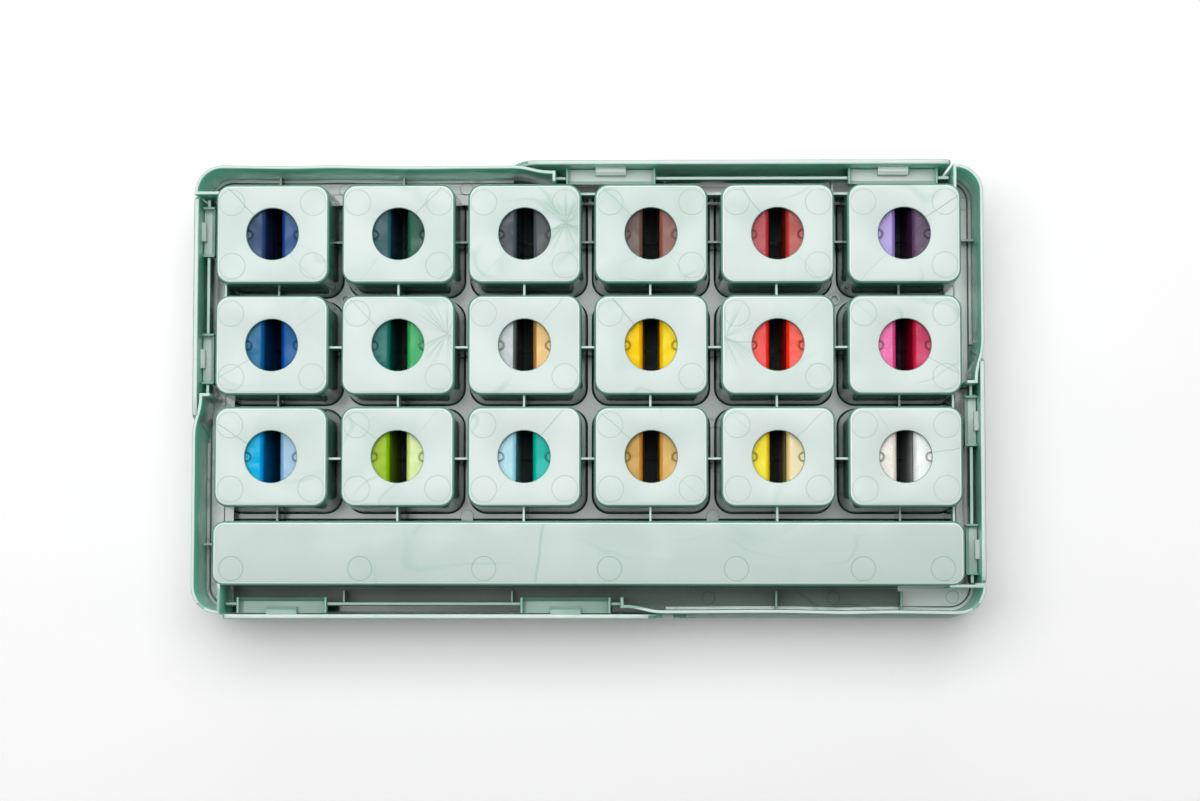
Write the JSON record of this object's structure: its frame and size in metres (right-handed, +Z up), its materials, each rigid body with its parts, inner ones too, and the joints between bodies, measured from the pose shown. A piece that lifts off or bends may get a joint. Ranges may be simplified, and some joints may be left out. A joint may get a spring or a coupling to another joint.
{
  "type": "paint box",
  "caption": "Rectangular moulded paint box lying closed on its lid, underside up, with finger holes over twin cups of paint, a long brush trough and lid flaps that clip over its sides.",
  "frame": {"origin": "centre of the box's footprint, on the lid's outer face that it lies on", "axes": "+X along the box, +Y across it away from the brush trough, +Z up out of the lid's outer face toward the tray's underside"},
  "size_m": [0.2972, 0.1726, 0.046],
  "materials": {
    "mint_plastic": "moulded, faint marbling",
    "clear_plastic": "see-through, slightly milky",
    "paint_navy": "thick paint seen through the cup",
    "paint_ultramarine": "thick paint seen through the cup",
    "paint_petrol": "thick paint seen through the cup",
    "paint_bottle_green": "thick paint seen through the cup",
    "paint_charcoal": "thick paint seen through the cup",
    "paint_graphite": "thick paint seen through the cup",
    "paint_umber": "thick paint seen through the cup",
    "paint_chestnut": "thick paint seen through the cup",
    "paint_crimson": "thick paint seen through the cup",
    "paint_brick": "thick paint seen through the cup",
    "paint_lavender": "thick paint seen through the cup",
    "paint_aubergine": "thick paint seen through the cup",
    "paint_denim": "thick paint seen through the cup",
    "paint_cobalt": "thick paint seen through the cup",
    "paint_pine": "thick paint seen through the cup",
    "paint_emerald": "thick paint seen through the cup",
    "paint_silver": "thick paint seen through the cup",
    "paint_copper": "thick paint seen through the cup",
    "paint_amber": "thick paint seen through the cup",
    "paint_yellow": "thick paint seen through the cup",
    "paint_scarlet": "thick paint seen through the cup",
    "paint_vermilion": "thick paint seen through the cup",
    "paint_pink": "thick paint seen through the cup",
    "paint_raspberry": "thick paint seen through the cup",
    "paint_cerulean": "thick paint seen through the cup",
    "paint_powder_blue": "thick paint seen through the cup",
    "paint_lime": "thick paint seen through the cup",
    "paint_pale_lime": "thick paint seen through the cup",
    "paint_ice_blue": "thick paint seen through the cup",
    "paint_turquoise": "thick paint seen through the cup",
    "paint_ochre": "thick paint seen through the cup",
    "paint_sand": "thick paint seen through the cup",
    "paint_lemon": "thick paint seen through the cup",
    "paint_cream": "thick paint seen through the cup",
    "paint_blush": "thick paint seen through the cup",
    "paint_white": "thick paint seen through the cup"
  },
  "bodies": {
    "lid": {"lid": "mint_plastic"},
    "tray": {"base_tray": "mint_plastic", "twin_cup_01": "clear_plastic", "paint_01_navy": "paint_navy", "paint_01_ultramarine": "paint_ultramarine", "twin_cup_02": "clear_plastic", "paint_02_petrol": "paint_petrol", "paint_02_bottle_green": "paint_bottle_green", "twin_cup_03": "clear_plastic", "paint_03_charcoal": "paint_charcoal", "paint_03_graphite": "paint_graphite", "twin_cup_04": "clear_plastic", "paint_04_umber": "paint_umber", "paint_04_chestnut": "paint_chestnut", "twin_cup_05": "clear_plastic", "paint_05_crimson": "paint_crimson", "paint_05_brick": "paint_brick", "twin_cup_06": "clear_plastic", "paint_06_lavender": "paint_lavender", "paint_06_aubergine": "paint_aubergine", "twin_cup_07": "clear_plastic", "paint_07_denim": "paint_denim", "paint_07_cobalt": "paint_cobalt", "twin_cup_08": "clear_plastic", "paint_08_pine": "paint_pine", "paint_08_emerald": "paint_emerald", "twin_cup_09": "clear_plastic", "paint_09_silver": "paint_silver", "paint_09_copper": "paint_copper", "twin_cup_10": "clear_plastic", "paint_10_amber": "paint_amber", "paint_10_yellow": "paint_yellow", "twin_cup_11": "clear_plastic", "paint_11_scarlet": "paint_scarlet", "paint_11_vermilion": "paint_vermilion", "twin_cup_12": "clear_plastic", "paint_12_pink": "paint_pink", "paint_12_raspberry": "paint_raspberry", "twin_cup_13": "clear_plastic", "paint_13_cerulean": "paint_cerulean", "paint_13_powder_blue": "paint_powder_blue", "twin_cup_14": "clear_plastic", "paint_14_lime": "paint_lime", "paint_14_pale_lime": "paint_pale_lime", "twin_cup_15": "clear_plastic", "paint_15_ice_blue": "paint_ice_blue", "paint_15_turquoise": "paint_turquoise", "twin_cup_16": "clear_plastic", "paint_16_ochre": "paint_ochre", "paint_16_sand": "paint_sand", "twin_cup_17": "clear_plastic", "paint_17_lemon": "paint_lemon", "paint_17_cream": "paint_cream", "twin_cup_18": "clear_plastic", "paint_18_blush": "paint_blush", "paint_18_white": "paint_white"}
  },
  "joints": [
    {"name": "lift_off", "type": "slide", "parent": "lid", "child": "tray", "axis": [0, 0, 1], "range_m": [0, 0.048]}
  ]
}
